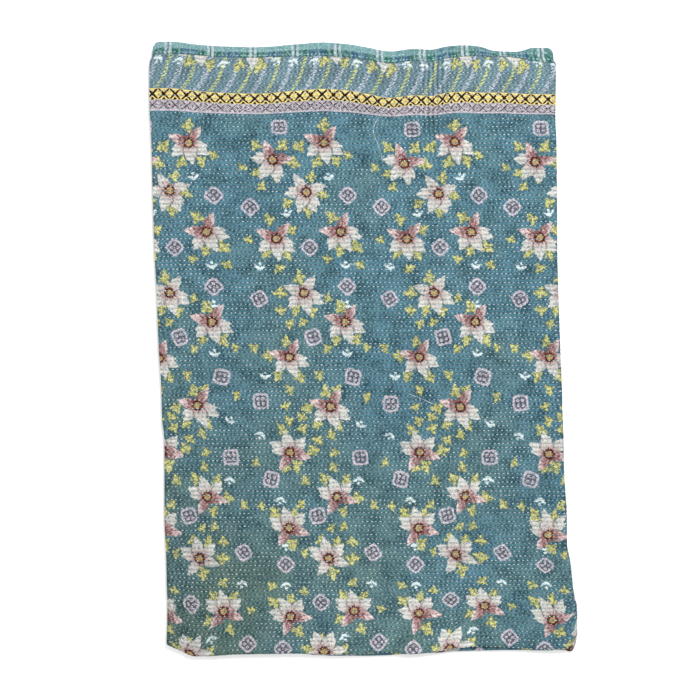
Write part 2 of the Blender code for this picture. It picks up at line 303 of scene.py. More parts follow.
def relief(across, along):
    """Rise of the printed face: puffed between its rows of stitches, and puckered."""
    sewn = along - row_sway(across, along)
    puff = (1 - np.cos(2 * math.pi * sewn / ROW_PITCH)) / 2
    uneven = 1 + 0.5 * soft_noise(across, along, 15 * MM, 3)
    clear = ease(across / HEM_FADE) * ease((along - binding_width(across)) / FLAT_FADE)
    clear = clear * ease((CROSS_FOLD_AT - along) / FLAT_FADE)
    pucker = sum(MM * high * soft_noise(across, along * 1.4, MM * size, size)
                 for size, high in PUCKERS)
    ridge, near = crumple(across, along)
    bunched = CRUMPLE_HEIGHT * near * np.cos(2 * math.pi * ridge)
    top = clear * (PUFF * puff * uneven + pucker + bunched)
    under = -UNDER_GROOVE * (1 - puff) ** 2 * clear
    beneath = ease((across - LONG_FOLD_AT + 6 * MM) / (12 * MM))
    return blend(top, under, beneath)


def rim(inside, radius):
    """How much of a thickness is left, a way inside an edge that rounds off."""
    return np.maximum(1 - rounding(inside / radius), LEAST_RIM)


def spread(start, stop, step):
    """Even places from one to another, both included."""
    return list(np.linspace(start, stop, max(1, round((stop - start) / step)) + 1))


def slab(columns, rows):
    """A closed flat slab with a point at each column and row: faces at height 0 and 1.

    Along runs against +Y, so placing a slab turns it inside out: it starts that way.
    """
    bm = bmesh.new()
    bmesh.ops.create_grid(bm, x_segments=len(columns) - 1, y_segments=len(rows) - 1, size=1)
    for vert in bm.verts:
        column = round((vert.co.x + 1) / 2 * (len(columns) - 1))
        row = round((vert.co.y + 1) / 2 * (len(rows) - 1))
        vert.co = (columns[column], rows[row], 0)
    raised = bmesh.ops.extrude_face_region(bm, geom=bm.faces[:], use_keep_orig=True)
    top = [item for item in raised["geom"] if isinstance(item, bmesh.types.BMVert)]
    bmesh.ops.translate(bm, verts=top, vec=(0, 0, 1))
    bmesh.ops.recalc_face_normals(bm, faces=bm.faces[:])
    bmesh.ops.reverse_faces(bm, faces=bm.faces[:])
    return bm


def split_rows(bm, across_to, low, high, cuts):
    """Cut the rows of the printed face finer, up to a column and between two rows."""
    slack = 0.01 * MM
    edges = []
    for edge in bm.edges:
        a, b = (vert.co for vert in edge.verts)
        upright = a.z == b.z == 1 and abs(a.y - b.y) > abs(a.x - b.x)
        between = min(a.y, b.y) > low - slack and max(a.y, b.y) < high + slack
        if upright and between and max(a.x, b.x) < across_to + slack:
            edges.append(edge)
    bmesh.ops.subdivide_edges(bm, edges=edges, cuts=cuts, use_grid_fill=True)


def mesh_of(bm, name):
    mesh = bpy.data.meshes.new(name)
    bm.to_mesh(mesh)
    bm.free()
    return mesh


def add_object(name, data):
    made = bpy.data.objects.new(name, data)
    bpy.context.scene.collection.objects.link(made)
    return made


def shown_mesh(holder):
    """The mesh that an object shows, with its modifiers or bevel; the object goes."""
    bpy.context.view_layer.update()
    shown = holder.evaluated_get(bpy.context.evaluated_depsgraph_get())
    mesh = bpy.data.meshes.new_from_object(shown)
    bpy.data.objects.remove(holder)
    return mesh


def read(items, key, kind=np.int32, width=1):
    """One value of each item, or a few in a row."""
    values = np.zeros(len(items) * width, kind)
    items.foreach_get(key, values)
    return values


def points_of(mesh):
    return read(mesh.vertices, "co", np.float32, 3).reshape(-1, 3).astype(float)


def move_points(mesh, points):
    mesh.vertices.foreach_set("co", points.astype(np.float32).ravel())
    mesh.update()


def quilt_slab():
    """The whole quilt, spread out, with fine rows on the quarters that show."""
    fold, end = LONG_FOLD_AT / MM, CROSS_FOLD_AT / MM
    width, length = QUILT_WIDTH / MM, QUILT_LENGTH / MM
    hem = [0, 0.35, 1.25, 3]
    bend = [1.9, 3.8, 5.7, 7.7, 10, 14, 20, 28]
    columns = hem + spread(10, 500, 10.2) + spread(502.6, 590, 2.6) + spread(600, 724, 10.2)
    columns += [fold - at for at in bend[::-1]] + [fold] + [fold + at for at in bend]
    columns += spread(810, 1510, 20) + [width - at for at in hem[::-1]]
    field = [24.6 + 16.4 * i for i in range(69)]
    bend_rows = [1.25, 2.5, 3.8, 6, 11]
    rows = spread(0, 20.5, 4.1) + field + [end - at for at in bend_rows[::-1]] + [end]
    rows += [end + at for at in bend_rows] + [1180, 1210] + spread(1270, 2270, 100)
    rows += [length - at for at in hem[::-1]]
    bm = slab([MM * at for at in columns], [MM * at for at in rows])
    near_fold = (fold + bend[-1]) * MM
    split_rows(bm, QUILT_WIDTH, field[0] * MM, field[-1] * MM, 3)
    split_rows(bm, near_fold, 0, field[-1] * MM, 1)
    return bm


def lay_quilt():
    """The folded cloth's mesh, and the flat place and face of each of its points."""
    mesh = mesh_of(quilt_slab(), "printed_quilt")
    across, along, face = points_of(mesh).T
    printed = face > 0.5
    inside = np.minimum(np.minimum(across, QUILT_WIDTH - across), QUILT_LENGTH - along)
    out = THICKNESS / 2 * rim(inside, HEM_ROUND)
    out = np.where(printed, out + relief(across, along), -out)
    move_points(mesh, placed(across, along, out))
    return mesh, np.stack([across, along, printed], axis=-1)


# ---- the print's chart, in mm
# One repeat of the upper half. The lower half is the same, turned half round.

REPEAT = 246.6
TURNED_ABOUT = 720
TURN_STEP = 88

FLOWERS = (  # across, along, turn, blush, size
    (78, 188, 0, 1, 1), (228, 224, -46, 1, 1), (43, 281, -33, 0, 1), (106, 356, 18, 1, 1),
    (231, 369, -3, 1, 1), (33, 471, 3, 0, 1), (109, 526, 5, 1, 1), (0, 592, 8, 1, 0.96),
    (74, 685, 6, 1, 1),
)
END_FLOWERS = ((94, -9, 4, 0, 1.15), (190, -10, -6, 0, 1.15))
LEAVES = (  # across, along
    (77, 156), (32, 196), (122, 213), (66, 225), (101, 221), (19, 225), (197, 196), (248, 197),
    (171, 235), (199, 246), (232, 250), (207, 271), (51, 253), (72, 284), (44, 315), (6, 300),
    (90, 330), (103, 389), (134, 385), (80, 408), (142, 417), (220, 333), (14, 354), (181, 370),
    (212, 395), (5, 396), (233, 424), (24, 445), (236, 469), (79, 482), (48, 504), (235, 505),
    (15, 501), (101, 500), (29, 525), (3, 529), (92, 558), (128, 557), (73, 575), (149, 574),
    (182, 574), (243, 564), (210, 591), (222, 626), (16, 629), (55, 625), (245, 652), (143, 663),
    (66, 659), (85, 653), (236, 685), (32, 689), (18, 705), (242, 711), (47, 717), (87, 716),
)
END_LEAVES = (  # across, along, turn, size
    (81, 31, -105, 1.1), (117, 32, -100, 1.05), (171, 32, -108, 1.15), (207, 32, -105, 1.35),
)
SQUARES = (  # across, along, turn, kind, size
    (242, 157, 0, 1, 1), (121, 287, 45, 1, 0.94), (184, 309, 45, 1, 0.94), (47, 385, 45, 1, 0.94),
    (115, 459, 45, 1, 0.94), (195, 482, 30, 1, 0.94), (47, 554, 15, 1, 1), (119, 629, -15, 1, 1),
    (189, 675, 2, 1, 1),
)
SPRIGS = (  # across, along
    (86, 251), (5, 320), (114, 418), (198, 421), (112, 492), (110, 584), (199, 626), (130, 710),
)
END_SPRIGS = ((22, 31), (62, 33), (141, 31), (234, 27))

# The lower half's own steps off a true half turn: along, and how far across and along.
LOWER_STEPS = table("along across down", (
    (700, -22, 0), (722, -22, 4), (730, -21, 10), (737, -23, 14), (755, -20.5, 16), (775, -17, 15),
    (790, -15, 12.5), (811, -12, 11), (850, -6, 7), (885, 3, 5), (914, 11, 0), (935, 10, 3),
    (971, 8, 2), (1022, 7, 2), (1050, 4, 1), (1073, 3, 2), (1090, 5, 0), (1105, 3, 1),
    (1120, 2, 4), (1140, 2, 7), (1152, 6, -5), (1159, 2, -8),
), unit=1)
PULLS = (  # where the stitching has drawn the print: across, along, how far each way
    (551, 962, -4, -8), (472, 1079, -4, -7), (720, 1093, 1, 12), (727, 924, 1, 13),
    (10, 1100, 6, 12), (527, 1152, -7, 5), (5, 592, 6, 2), (68, 683, -6, -2), (50, 1142, -4, 3),
    (226, 213, -1, -4), (572, 180, -1, -2), (474, 222, 0, 3), (727, 364, 4, -2), (537, 284, 2, 3),
    (25, 280, -3, -3), (489, 158, 4, 4), (735, 155, -2, 3), (439, 680, 0, 5), (685, 680, 0, 3),
    (376, 712, 0, 8), (622, 712, 0, 7), (35, 769, 5, -4), (748, 769, 0, 4), (38, 914, 4, 0),
    (318, 1150, 5, 0), (590, 854, -4, -2), (705, 1148, 0, 8),
)
PULL_REACH = 42
BATCH = 4000  # faces whose nearest motifs are found at a time
BORDER_DRAWN = table("across off", (  # the crossed band is drawn in towards the right
    (0, 0), (200, 1), (285, 2.4), (390, 3), (450, 6.7), (510, 9.3), (550, 12), (566, 18),
    (605, 21), (705, 28), (762, 29), (1524, 29),
))


def turned(across, along):
    """Where a place of the upper half's chart comes again in the lower half."""
    down = 2 * TURNED_ABOUT - along
    step, drop = (np.interp(down, LOWER_STEPS["along"], LOWER_STEPS[way])
                  for way in ("across", "down"))
    return TURN_STEP + step - across, down + drop


def over_the_cloth(upper, at_end):
    """Each motif of a chart, over the width of the cloth: across, along, turn, kind, size."""
    repeats = range(-1, round(QUILT_WIDTH / MM / REPEAT) + 2)
    found = list(at_end)
    for x, y, turn, *rest in upper:
        found += [(x, y, turn, *rest), (*turned(x, y), turn + 180, *rest)]
    return np.array([(row[0] + REPEAT * i, *row[1:]) for row in found for i in repeats])


def leaf_spots(flowers):
    """Leaves point away from a flower that they touch; the rest lie any way."""
    chance = np.random.default_rng(8)
    rows = []
    for x, y in LEAVES:
        gap = np.hypot(flowers[:, 0] - x, flowers[:, 1] - y)
        near = flowers[gap.argmin()]
        away = math.degrees(math.atan2(near[1] - y, x - near[0]))
        touching = gap.min() < 47
        turn = away + chance.uniform(-25, 25) if touching else chance.uniform(0, 360)
        size = chance.uniform(1, 1.3) if touching else chance.uniform(0.8, 1.05)
        rows.append((x, y, turn, chance.choice((-1, 1)), size))
    at_end = [(x, y, turn, chance.choice((-1, 1)), size) for x, y, turn, size in END_LEAVES]
    return over_the_cloth(rows, at_end)


def sprig_spots():
    chance = np.random.default_rng(5)
    rows = [(x, y, chance.uniform(-30, 30), 1, 1) for x, y in SPRIGS]
    at_end = [(x, y, 180 + 20 * (i % 3 - 1), 1, 1) for i, (x, y) in enumerate(END_SPRIGS)]
    return over_the_cloth(rows, at_end)


def chart_place(flat):
    """Where on the chart a flat place is: the print runs a little off the cloth's own lines."""
    across, along = flat[:, 0] / MM, flat[:, 1] / MM
    off_across = 8 * (1 - ease((across - 60) / 160)) * (1 - ease((along - 520) / 200))
    off_across = off_across + 0.015 * across * ease((along - 800) / 300)
    off_along = np.zeros_like(along)
    for x, y, drawn_across, drawn_along in PULLS:
        share = np.exp(-((across - x) ** 2 + (along - y) ** 2) / PULL_REACH ** 2)
        off_across = off_across - drawn_across * share
        off_along = off_along - drawn_along * share
    return across + off_across, along + off_along * ease((along - 130) / 40)


def add_attribute(mesh, name, *values):
    """A corner attribute of three numbers."""
    layer = mesh.attributes.new(name, "FLOAT_VECTOR", "CORNER")
    layer.data.foreach_set("vector", np.stack(values, axis=-1).astype(np.float32).ravel())


def chart_onto(mesh, flat):
    """Tell each corner of the cloth where it lies on the print, the stitching and the motifs."""
    corner_point = read(mesh.loops, "vertex_index")
    start, count = (read(mesh.polygons, key) for key in ("loop_start", "loop_total"))
    corner_face = np.repeat(np.arange(len(start)), count)
    across, along, printed = flat[corner_point].T
    x, y = (place[corner_point] for place in chart_place(flat))
    face_x, face_y, side = (np.add.reduceat(at, start) / count for at in (x, y, printed))
    shown = (side > 0.4).astype(float)[corner_face]
    add_attribute(mesh, "cloth_place", x, y, shown)
    sewn_along = along - row_sway(across, along)
    add_attribute(mesh, "sewn_place", across / MM, sewn_along / MM, printed / MM)
    drawn = across + np.interp(across, BORDER_DRAWN["across"], BORDER_DRAWN["off"])
    none = np.zeros_like(across)
    add_attribute(mesh, "border_place", drawn / MM, along / MM, none)
    add_attribute(mesh, "bunched_place", *crumple(across, along), none)
    flowers = over_the_cloth(FLOWERS, END_FLOWERS)
    kinds = (("flower_spot", flowers), ("leaf_spot", leaf_spots(flowers)),
             ("square_spot", over_the_cloth(SQUARES, ())), ("sprig_spot", sprig_spots()))
    for name, spots in kinds:
        nearest = np.zeros(len(start), int)
        for first in range(0, len(start), BATCH):
            part = slice(first, first + BATCH)
            off_x = face_x[part, None] - spots[:, 0]
            off_y = face_y[part, None] - spots[:, 1]
            nearest[part] = (off_x ** 2 + off_y ** 2).argmin(axis=1)
        spot_x, spot_y, turn, kind, size = spots[nearest[corner_face]].T
        dx, dy = x - spot_x, spot_y - y
        turn = np.radians(turn)
        flip = np.where(kind < 0, -1, 1)
        local_x = (dx * np.cos(turn) + dy * np.sin(turn)) / size
        local_y = (dy * np.cos(turn) - dx * np.sin(turn)) * flip / size
        add_attribute(mesh, name, local_x, local_y, kind)


# ---- dyes

def dye(code):
    """A colour from its usual six-digit code, as light."""
    parts = [int(code[i:i + 2], 16) / 255 for i in (0, 2, 4)]
    return (*[c / 12.92 if c <= 0.04045 else ((c + 0.055) / 1.055) ** 2.4 for c in parts], 1)


def operator(operation, turned_round=False):
    """An operator that adds a Math node."""
    def apply(self, other):
        values = (other, self) if turned_round else (self, other)
        return self.sum(operation, *values)
    return apply


class Amount:
    """A number that changes over a surface; sums of it add the nodes that work them out."""

    __add__ = __radd__ = operator("ADD")
    __sub__ = operator("SUBTRACT")
    __rsub__ = operator("SUBTRACT", turned_round=True)
    __mul__ = __rmul__ = operator("MULTIPLY")
    __truediv__ = operator("DIVIDE")
    __pow__ = operator("POWER")
    __mod__ = operator("FLOORED_MODULO")
    __or__ = operator("MAXIMUM")
    __and__ = operator("MINIMUM")

    def __init__(self, recipe, socket):
        self.recipe, self.socket = recipe, socket

    def __abs__(self):
        return self.sum("ABSOLUTE", self)

    def sum(self, operation, *values, clamp=False):
        settings = {"operation": operation, "use_clamp": clamp}
        return self.recipe.node("ShaderNodeMath", settings, dict(enumerate(values)))

    def below(self, edge, soft=0.3):
        """1 where it is under an edge, 0 where it is over."""
        return self.sum("MULTIPLY_ADD", self, -1 / soft, edge / soft + 0.5, clamp=True)

    def above(self, edge, soft=0.3):
        """1 where it is over an edge, 0 where it is under."""
        return self.sum("MULTIPLY_ADD", self, 1 / soft, 0.5 - edge / soft, clamp=True)

    def waves(self, period, shift=0):
        """A cosine wave of it, from 0 to 1."""
        turn = self.sum("MULTIPLY_ADD", self, 2 * math.pi / period, shift)
        return self.sum("MULTIPLY_ADD", self.sum("COSINE", turn), 0.5, 0.5)


class Recipe:
    """One material, made up node by node."""

    def __init__(self, name, **even):
        self.material = bpy.data.materials.new(name)
        self.material.use_nodes = True
        self.tree = self.material.node_tree
        self.shader = self.tree.nodes["Principled BSDF"]
        for socket, value in even.items():
            self.shader.inputs[socket.replace("_", " ")].default_value = value

    def node(self, kind, settings, inputs, output=0):
        made = self.tree.nodes.new(kind)
        for name, value in settings.items():
            setattr(made, name, value)
        for key, value in inputs.items():
            if isinstance(value, Amount):
                self.tree.links.new(value.socket, made.inputs[key])
            else:
                made.inputs[key].default_value = value
        return Amount(self, made.outputs[output])

    def place(self, name):
        """An attribute's three numbers, and the attribute itself."""
        whole = self.node("ShaderNodeAttribute", {"attribute_name": name}, {}, "Vector")
        apart = [self.node("ShaderNodeSeparateXYZ", {}, {0: whole}, axis) for axis in "XYZ"]
        return (*apart, whole)

    def noise(self, where, size, detail=2, rough=0.5, output="Fac"):
        """Cloudy noise of a size, in the units of the place."""
        inputs = {"Vector": where, "Scale": 1 / size, "Detail": detail, "Roughness": rough}
        return self.node("ShaderNodeTexNoise", {}, inputs, output)

    def mix(self, share, a, b, way="MIX"):
        """From one colour to another."""
        settings = {"data_type": "RGBA", "blend_type": way}
        return self.node("ShaderNodeMix", settings, {0: share, 6: a, 7: b}, 2)

    def shaded(self, colour, amount):
        """A colour, darker or lighter by an amount."""
        grey = self.node("ShaderNodeCombineXYZ", {}, {0: amount, 1: amount, 2: amount})
        return self.mix(1, colour, grey, "MULTIPLY")

    def finish(self, colour, height):
        """The material, with a colour and with a height in mm."""
        bump = self.node("ShaderNodeBump", {}, {"Strength": 1, "Distance": MM, "Height": height})
        self.tree.links.new(colour.socket, self.shader.inputs["Base Color"])
        self.tree.links.new(bump.socket, self.shader.inputs["Normal"])
        return self.material


WASHED_COTTON = {"Roughness": 0.95, "Sheen Weight": 0.02, "Sheen Roughness": 0.5,
                 "Specular IOR Level": 0.15}
GROUND_BLUE = dye("4D7280")
GROUND_GREEN = dye("526861")
GROUND_DEEP = dye("28464F")
BORDER_GREY = dye("76868C")
PETAL_WHITE = dye("C4C5BF")
PETAL_SHADE = dye("6F686A")
PETAL_PINK = dye("D8C8C6")
PINK_SHADE = dye("855A5C")
THROAT_PALE = dye("AD8583")
THROAT = dye("5B302E")
RING = dye("421A15")
EYE = dye("BFA577")
EYE_DARK = dye("57492F")
LEAF_YELLOW = dye("C1BF7E")
LEAF_OLIVE = dye("59613D")
SQUARE_LINE = dye("BCB0BA")
SQUARE_GREY = dye("50515B")
SPRIG_WHITE = dye("C4D2D3")
BAND_YELLOW = dye("E0C980")
BAND_BROWN = dye("1E0D06")
LATTICE_PINK = dye("958B93")
LATTICE_GREY = dye("2A2329")
LATTICE_WHITE = dye("C8C0C7")
CHAIN_YELLOW = dye("BABD68")
CHAIN_WHITE = dye("B0B5C2")


def distance(x, y):
    return (x * x + y * y) ** 0.5


def lobe(x, y, turn, length, width):
    """How far out from the middle line of a pointed lobe a place is: 1 at its edge."""
    c, s = math.cos(math.radians(turn)), math.sin(math.radians(turn))
    off = abs(y * c - x * s) + 0.1
    reach = x * (c / length) + y * (s / length)
    half = (1 - reach) * (reach + 0.35) * (width / 0.456)
    return off / (half | 0.05)


def lobes(x, y, shapes):
    """Several lobes as one."""
    out = lobe(x, y, *shapes[0])
    for shape in shapes[1:]:
        out = out & lobe(x, y, *shape)
    return out


def laid_over(shadow, out, reach=1.3):
    """The dark line that a shape leaves on what it lies over."""
    return (out.below(reach, 0.3) | shadow) * (1 - out.below(1, 0.2))


PETALS = (  # blush, and its points: turn, length, half-width
    (0, ((201, 35, 8.5), (218, 42, 11))),
    (0, ((349, 36, 8.5), (328, 43, 11.5))),
    (0, ((263, 33, 8), (279, 43, 11))),
    (1, ((174, 29, 6.5), (158, 42, 10))),
    (1, ((70, 29, 6.5), (53, 40, 9.5))),
)


def flower_over(recipe, colour, jag_x, jag_y, grain):
    """A five-petalled flower, streaked, with a dark ring and a rosy smudge at its throat."""
    x, y, blushing, _ = recipe.place("flower_spot")
    x, y = x + jag_x * 7, y + jag_y * 7
    r = distance(x, y)
    rays = recipe.node("ShaderNodeCombineXYZ", {}, {0: x / r * 6, 1: y / r * 6, 2: r * 0.1})
    streak = recipe.noise(rays, 1, 2, 0.6).above(0.5, 0.3)
    stroke = recipe.noise(rays, 1.4, 1, 0.5) - 0.5
    cover, shadow, blush = r.below(12, 2), 0, 0
    for pink, shapes in PETALS:
        out = lobes(x, y, shapes)
        inside = out.below(1, 0.2)
        shadow = laid_over(shadow, out)
        blush = inside * (pink - blush) + blush
        cover = cover | inside
    blush = blush * blushing
    shade = shadow * 0.7 + (streak - 0.4) * 0.6 + (grain - 0.5) * 1.6 + jag_x * 2 + 0.1
    white = recipe.mix(shade, PETAL_WHITE, PETAL_SHADE)
    inward = (27 - r) * 0.032
    pink = recipe.mix(shade + streak * 0.35 + inward, PETAL_PINK, PINK_SHADE)
    petals = recipe.mix(blush, white, pink)
    rosy_side = (y + r * 0.22) * (blushing * 0.42 + 0.12)
    petals = recipe.mix((r + streak * 12).below(22, 17) * 0.65, petals, THROAT_PALE)
    smudge = r + stroke * 42 + streak * 6 - (rosy_side | 0)
    petals = recipe.mix(smudge.below(12, 6) * 0.8, petals, THROAT)
    r = r + stroke * 6
    petals = recipe.mix(abs(r - 8.1 + (grain - 0.5) * 6).below(2.2, 1.4), petals, RING)
    eye = recipe.mix((grain - 0.42) * 5, EYE, EYE_DARK)
    petals = recipe.mix(r.below(6.1, 1.2), petals, eye)
    return recipe.mix(cover, colour, petals)


LEAF_LOBES = ((-100, 10, 3.6), (72, 11.5, 3.4), (150, 13, 3.7), (14, 14, 4))


def leaf_over(recipe, colour, jag_x, jag_y, grain):
    """A small yellow sprig of ragged leaves, edged with olive."""
    x, y, _, _ = recipe.place("leaf_spot")
    x, y = x + jag_x * 9, y + jag_y * 9
    out, shadow = lobe(x, y, *LEAF_LOBES[0]), 0
    for shape in LEAF_LOBES[1:]:
        one = lobe(x, y, *shape)
        shadow = laid_over(shadow, one, 1.45)
        out = out & one
    shade = shadow * 0.8 + (grain - 0.5) * 4 + jag_x * 6 + 0.2
    tone = recipe.mix(shade, LEAF_YELLOW, LEAF_OLIVE)
    colour = recipe.mix(out.below(1.5, 0.4) * 0.6, colour, LEAF_OLIVE)
    return recipe.mix(out.below(1, 0.3), colour, tone)


def sprig_over(recipe, colour, jag_x, jag_y):
    """A white bud between two leaves."""
    x, y, _, _ = recipe.place("sprig_spot")
    x, y = x + jag_x * 9, y + jag_y * 9
    wings = lobes(x, y + 5, ((33, 13.5, 2.8), (147, 13.5, 2.8)))
    bud = distance(x, y - 4.6)
    mark = wings.below(1, 0.4) | bud.below(2.6, 0.8)
    return recipe.mix(mark * 0.93, colour, SPRIG_WHITE)


def square_over(recipe, colour, jag_x, jag_y):
    """A small framed check of four blocks."""
    x, y, _, _ = recipe.place("square_spot")
    x, y = abs(x + jag_x * 8), abs(y + jag_y * 8)
    q = (x ** 4 + y ** 4) ** 0.25
    inner = q.below(9.9, 1.2)
    colour = recipe.mix(inner * 0.9, colour, SQUARE_GREY)
    spot = distance(x - 4.6, y - 4.6)
    light = inner * abs(spot - 1.9).below(1.1, 0.8) | abs(q - 13.1).below(1.9, 1.4)
    return recipe.mix(light * (0.9 + jag_x * 3), colour, SQUARE_LINE)


def end_border(recipe, colour, across, along, jag_x, jag_y, grain):
    """The printed border: slanting chains, a yellow band of crosses, and a pale lattice."""
    across, along = across + jag_x * 5, along + jag_y * 5
    up = 86 - along
    chain = (across + 6.2 - up * 0.8 + up * up * 0.0065) % (REPEAT / 5)
    in_border = along.below(85)
    dash = (along + chain * 0.5).waves(6.6)
    beaded = dash.above(0.45, 0.5) * (grain * 4 - 1.1)
    yellow = abs(chain - REPEAT / 10).below(3.1, 1.8) * beaded
    white = abs(abs(chain - REPEAT / 10) - 23).below(2.4, 2.6) * beaded
    colour = recipe.mix(in_border * 0.4, colour, BORDER_GREY)
    colour = recipe.mix(white * in_border * 0.9, colour, CHAIN_WHITE)
    colour = recipe.mix(yellow * in_border, colour, CHAIN_YELLOW)

    across, along, _, _ = recipe.place("border_place")
    across, along = across + jag_x * 2.5, along + jag_y * 2.5
    cell = abs(((across + 4.9) % 21.4) - 10.7)
    down = abs(along - 95.3)
    arm = abs(cell - down * 0.98) + down * 0.12 + (down - 9 | 0) * 3
    dot = distance(cell, along - 104.6)
    dark = arm.below(3.2, 1) | dot.below(2.9, 1)
    middle_tone = (10.7 - cell + down).below(4.5, 4) * 0.35
    ground = recipe.mix((grain - 0.5) * 2.4 + jag_y * 3 + middle_tone, BAND_YELLOW, LEAF_OLIVE)
    band = recipe.mix(dark, ground, BAND_BROWN)
    colour = recipe.mix(abs(along - 95.9).below(10.6, 0.8), colour, band)

    out = abs(((across + 15.6) % 21.4) - 10.7) + abs(along - 116.2)
    net = abs(out - 10.7).below(1.6, 1.2) | abs(out - 6.4).below(0.9, 1.2) * 0.6
    net = (net | out.below(2.6, 1)) * (0.95 + jag_x * 4)
    lattice = recipe.mix((grain - 0.42) * 4, LATTICE_PINK, LATTICE_WHITE)
    lattice = recipe.mix(net * abs(along - 116).below(8.2, 1.5), lattice, LATTICE_GREY)
    return recipe.mix(abs(along - 116.9).below(10.5, 0.8), colour, lattice)


STITCH_PITCH = 8.4 * MM
STITCH_LENGTH = 4.1 * MM
STITCH_RADIUS = 1.35 * MM
STITCHES_IN_A_ROW = 90
FIRST_STITCH = 9 * MM
FIRST_UNDER_STITCH = 767 * MM
FIRST_ROW = 3
LAST_ROW = 141
ROW_SHIFT = 4 * MM         # the stitches of a row are shifted by up to this
SHIFT_EVERY = 32.105 * MM  # and the shift comes again after so much
SHIFT_START = 0.4


def printed_cotton():
    """The printed cloth, with its weave and the pull of each stitch; its rises are paler from wear
    and painted light, and its dimples and grooves carry painted shade.
    """
    recipe = Recipe("printed_cotton_print", **WASHED_COTTON)
    across, along, printed, where = recipe.place("cloth_place")
    sewn_across, sewn_along, _, sewn = recipe.place("sewn_place")
    grain = recipe.noise(where, 1.5, 2, 0.7)
    jag = recipe.noise(where, 2.8, 2, 0.6, "Color")
    jag_x, jag_y = (recipe.node("ShaderNodeSeparateXYZ", {}, {0: jag}, axis) - 0.5 for axis in "XY")
    clouds = recipe.noise(where, 180, 3, 0.55)
    lower_left = (along / 1150) ** 2 * (1.2 - across / 750)
    greener = (lower_left | 0) + (clouds - 0.5) * 2
    colour = recipe.mix(greener, GROUND_BLUE, GROUND_GREEN)
    mottle = recipe.noise(sewn, 3.4, 2, 0.65)
    wash = recipe.noise(where, 34, 3, 0.6)
    colour = recipe.mix((mottle - 0.42) * 3.2 + (wash - 0.5) * 2.8, colour, GROUND_DEEP)
    colour = end_border(recipe, colour, across, along, jag_x, jag_y, grain)
    colour = sprig_over(recipe, colour, jag_x, jag_y)
    colour = square_over(recipe, colour, jag_x, jag_y)
    colour = leaf_over(recipe, colour, jag_x, jag_y, grain)
    colour = flower_over(recipe, colour, jag_x, jag_y, grain)
    colour = recipe.mix(printed, GROUND_GREEN, colour)

    groove = sewn_along.waves(ROW_PITCH / MM)
    shifted = sewn_across + sewn_along.waves(SHIFT_EVERY / MM, SHIFT_START) * (ROW_SHIFT / MM)
    stitch = shifted.waves(STITCH_PITCH / MM, -2 * math.pi * FIRST_STITCH / STITCH_PITCH)
    # The dimples between the stitches of a row: they dent the bump, and darken the colour as
    # painted shade.
    hole = groove ** 3 * (1 - stitch)
    # Paler on the puffs between the rows and darker in the grooves along them: partly wear, partly
    # painted light and shade.
    tone_shift = (0.6 - mottle) * (1.3 - groove)
    # Painted light and shade on the bunched ridges below the bound end: paler crests, darker
    # grooves.
    ridge, bunched, _, _ = recipe.place("bunched_place")
    tone_shift = tone_shift + bunched * (ridge.waves(1) ** 0.6 - 0.72) * 0.75
    # Lighter across the lower middle, darker towards the lower left, and a slow random tone.
    lower = ((along - 780) / 350 | 0) & 1
    side = across / 760 & 1
    tone_shift = tone_shift + lower * (side - 0.2) * (1 - side) * 1.2 + (clouds - wash) * 0.4
    # The colour, lightened and darkened by all of these, with painted shade in the stitch dimples.
    colour = recipe.shaded(colour, 0.98 + tone_shift - hole * (mottle - 0.2) * 1.1 + (grain - 0.5) * 1.4)
    threads = sewn_across.waves(0.9) * sewn_along.waves(0.8)
    height = threads * 0.05 + grain * 0.3 + mottle * 0.5 - hole * 0.6
    return recipe.finish(colour, height)


# ---- stitches

def one_stitch():
    """A short thread with sunk ends, lying along its row."""
    bm = bmesh.new()
    bmesh.ops.create_cone(bm, cap_ends=True, segments=3, radius1=STITCH_RADIUS,
                          radius2=STITCH_RADIUS, depth=STITCH_LENGTH)
    bmesh.ops.bisect_plane(bm, geom=bm.verts[:] + bm.edges[:] + bm.faces[:],
                           plane_co=(0, 0, 0), plane_no=(0, 0, 1))
    for vert in bm.verts:
        sideways, up, run = vert.co
        bulge = 1 - abs(run) / (STITCH_LENGTH / 2)
        vert.co = (run, sideways * (0.7 + 0.5 * bulge), up * 0.5 + (bulge - 0.4) * 0.6 * MM)
    bmesh.ops.recalc_face_normals(bm, faces=bm.faces[:])
    bmesh.ops.reverse_faces(bm, faces=bm.faces[:])
    return mesh_of(bm, "stitch")


def repeated(mesh, counts, steps):
    holder = add_object("copies", mesh)
    for axis, (count, step) in enumerate(zip(counts, steps)):
        array = holder.modifiers.new("copies", "ARRAY")
        array.count = count
        array.use_relative_offset = False
        array.use_constant_offset = True
        array.constant_offset_displace = [step if i == axis else 0 for i in range(3)]
    return shown_mesh(holder)


def running_stitches(start, counts, steps, surface, seed, lift):
    """Rows of running stitch, each stitch a little out of line, laid on a surface."""
    single = one_stitch()
    shape = points_of(single)
    mesh = repeated(single, counts, steps)
    total = counts[0] * counts[1]
    column, row = np.arange(total) % counts[0], np.arange(total) // counts[0]
    chance = np.random.default_rng(seed)
    along = start[1] + row * steps[1]
    across = start[0] + column * steps[0] + chance.normal(0, 0.45 * MM, total)
    along_off = row_sway(across, along) + chance.normal(0, 0.2 * MM, total)
    turn = 2 * math.pi * along / SHIFT_EVERY + SHIFT_START
    across = across - ROW_SHIFT * (0.5 + 0.5 * np.cos(turn))
    stretch = chance.uniform(0.6, 1.2, total)
    slant = chance.normal(0, 0.09, total)
    plump = chance.uniform(0.65, 1.1, total)
    dx = shape[None, :, 0] * stretch[:, None]
    dy = shape[None, :, 1] * plump[:, None] + dx * slant[:, None]
    x = (across[:, None] + dx).ravel()
    y = (along[:, None] + along_off[:, None] + dy).ravel()
    z = np.tile(shape[:, 2] * lift, total)
    move_points(mesh, surface(x, y, z))
    return mesh


def on_cloth(across, along, lift):
    return placed(across, along, THICKNESS / 2 + relief(across, along) + lift)


# ---- the binding

